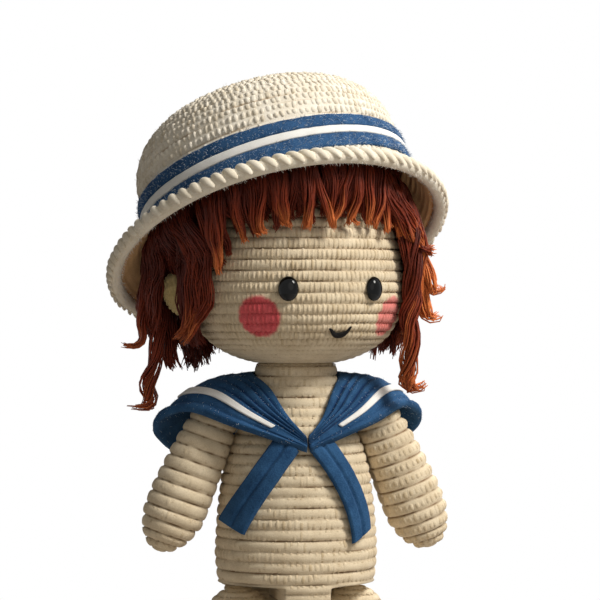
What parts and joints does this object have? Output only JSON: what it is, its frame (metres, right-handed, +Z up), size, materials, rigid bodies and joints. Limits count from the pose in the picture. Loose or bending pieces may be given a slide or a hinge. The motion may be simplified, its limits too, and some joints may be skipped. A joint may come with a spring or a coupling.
{
  "type": "amigurumi doll",
  "caption": "Standing crocheted doll with yarn hair, lift-off brimmed hat, sailor collar with ties, and turning head, arms and legs.",
  "frame": {"origin": "on the floor under the soles, in the middle of the box that the doll takes up", "axes": "+Z up along the doll's height, -Y the way its chest faces, +X to its own left"},
  "size_m": [0.1266, 0.116, 0.2673],
  "materials": {
    "cream_yarn": "crocheted cotton",
    "hat_yarn": "crocheted cotton",
    "hair_yarn": "auburn yarn",
    "blue_felt": "felt",
    "blue_yarn": "crocheted band",
    "white_tape": "cotton tape",
    "eye_plastic": "gloss",
    "black_thread": "embroidery thread",
    "joint_plastic": "matt",
    "stuffing": "loose polyester fibre"
  },
  "bodies": {
    "torso": {"torso_shell": "cream_yarn", "torso_stuffing": "stuffing", "collar": "blue_felt", "collar_tape_left": "white_tape", "collar_tape_right": "white_tape", "tie_left": "blue_felt", "tie_right": "blue_felt"},
    "head": {"head_shell": "cream_yarn", "head_stuffing": "stuffing", "neck_joint_post": "joint_plastic", "neck_joint_washer": "joint_plastic", "eye_left": "eye_plastic", "eye_right": "eye_plastic", "eye_washer_left": "joint_plastic", "eye_washer_right": "joint_plastic", "ear_left": "cream_yarn", "ear_right": "cream_yarn", "mouth": "black_thread", "hair_cap": "hair_yarn", "hair_fringe": "hair_yarn", "hair_right": "hair_yarn", "hair_left": "hair_yarn", "hair_back": "hair_yarn"},
    "hat": {"hat": "hat_yarn", "hat_brim_edging": "hat_yarn", "hat_band_lower": "blue_yarn", "hat_band_white": "white_tape", "hat_band_upper": "blue_yarn"},
    "arm_left": {"arm_left_shell": "cream_yarn", "arm_left_stuffing": "stuffing", "arm_left_joint_post": "joint_plastic", "arm_left_joint_washer": "joint_plastic"},
    "arm_right": {"arm_right_shell": "cream_yarn", "arm_right_stuffing": "stuffing", "arm_right_joint_post": "joint_plastic", "arm_right_joint_washer": "joint_plastic"},
    "leg_left": {"leg_left_shell": "cream_yarn", "leg_left_stuffing": "stuffing", "leg_left_joint_post": "joint_plastic", "leg_left_joint_washer": "joint_plastic"},
    "leg_right": {"leg_right_shell": "cream_yarn", "leg_right_stuffing": "stuffing", "leg_right_joint_post": "joint_plastic", "leg_right_joint_washer": "joint_plastic"}
  },
  "joints": [
    {"name": "head_turn", "type": "hinge", "parent": "torso", "child": "head", "pos_m": [0.00557, -0.00575, 0.16], "axis": [0, 0, 1], "range_deg": [-45, 30]},
    {"name": "hat_lift", "type": "slide", "parent": "head", "child": "hat", "axis": [-0.1905, 0.3591, 0.9136], "range_m": [0, 0.06]},
    {"name": "arm_left_swing", "type": "hinge", "parent": "torso", "child": "arm_left", "pos_m": [0.02757, -0.00575, 0.137], "axis": [0.9397, 0, 0.342], "range_deg": [-35, 25]},
    {"name": "arm_right_swing", "type": "hinge", "parent": "torso", "child": "arm_right", "pos_m": [-0.01643, -0.00575, 0.137], "axis": [0.9397, 0, -0.342], "range_deg": [-35, 25]},
    {"name": "leg_left_swing", "type": "hinge", "parent": "torso", "child": "leg_left", "pos_m": [0.01457, -0.00575, 0.066], "axis": [1, 0, 0], "range_deg": [-90, 20]},
    {"name": "leg_right_swing", "type": "hinge", "parent": "torso", "child": "leg_right", "pos_m": [-0.00343, -0.00575, 0.066], "axis": [1, 0, 0], "range_deg": [-90, 20]}
  ]
}
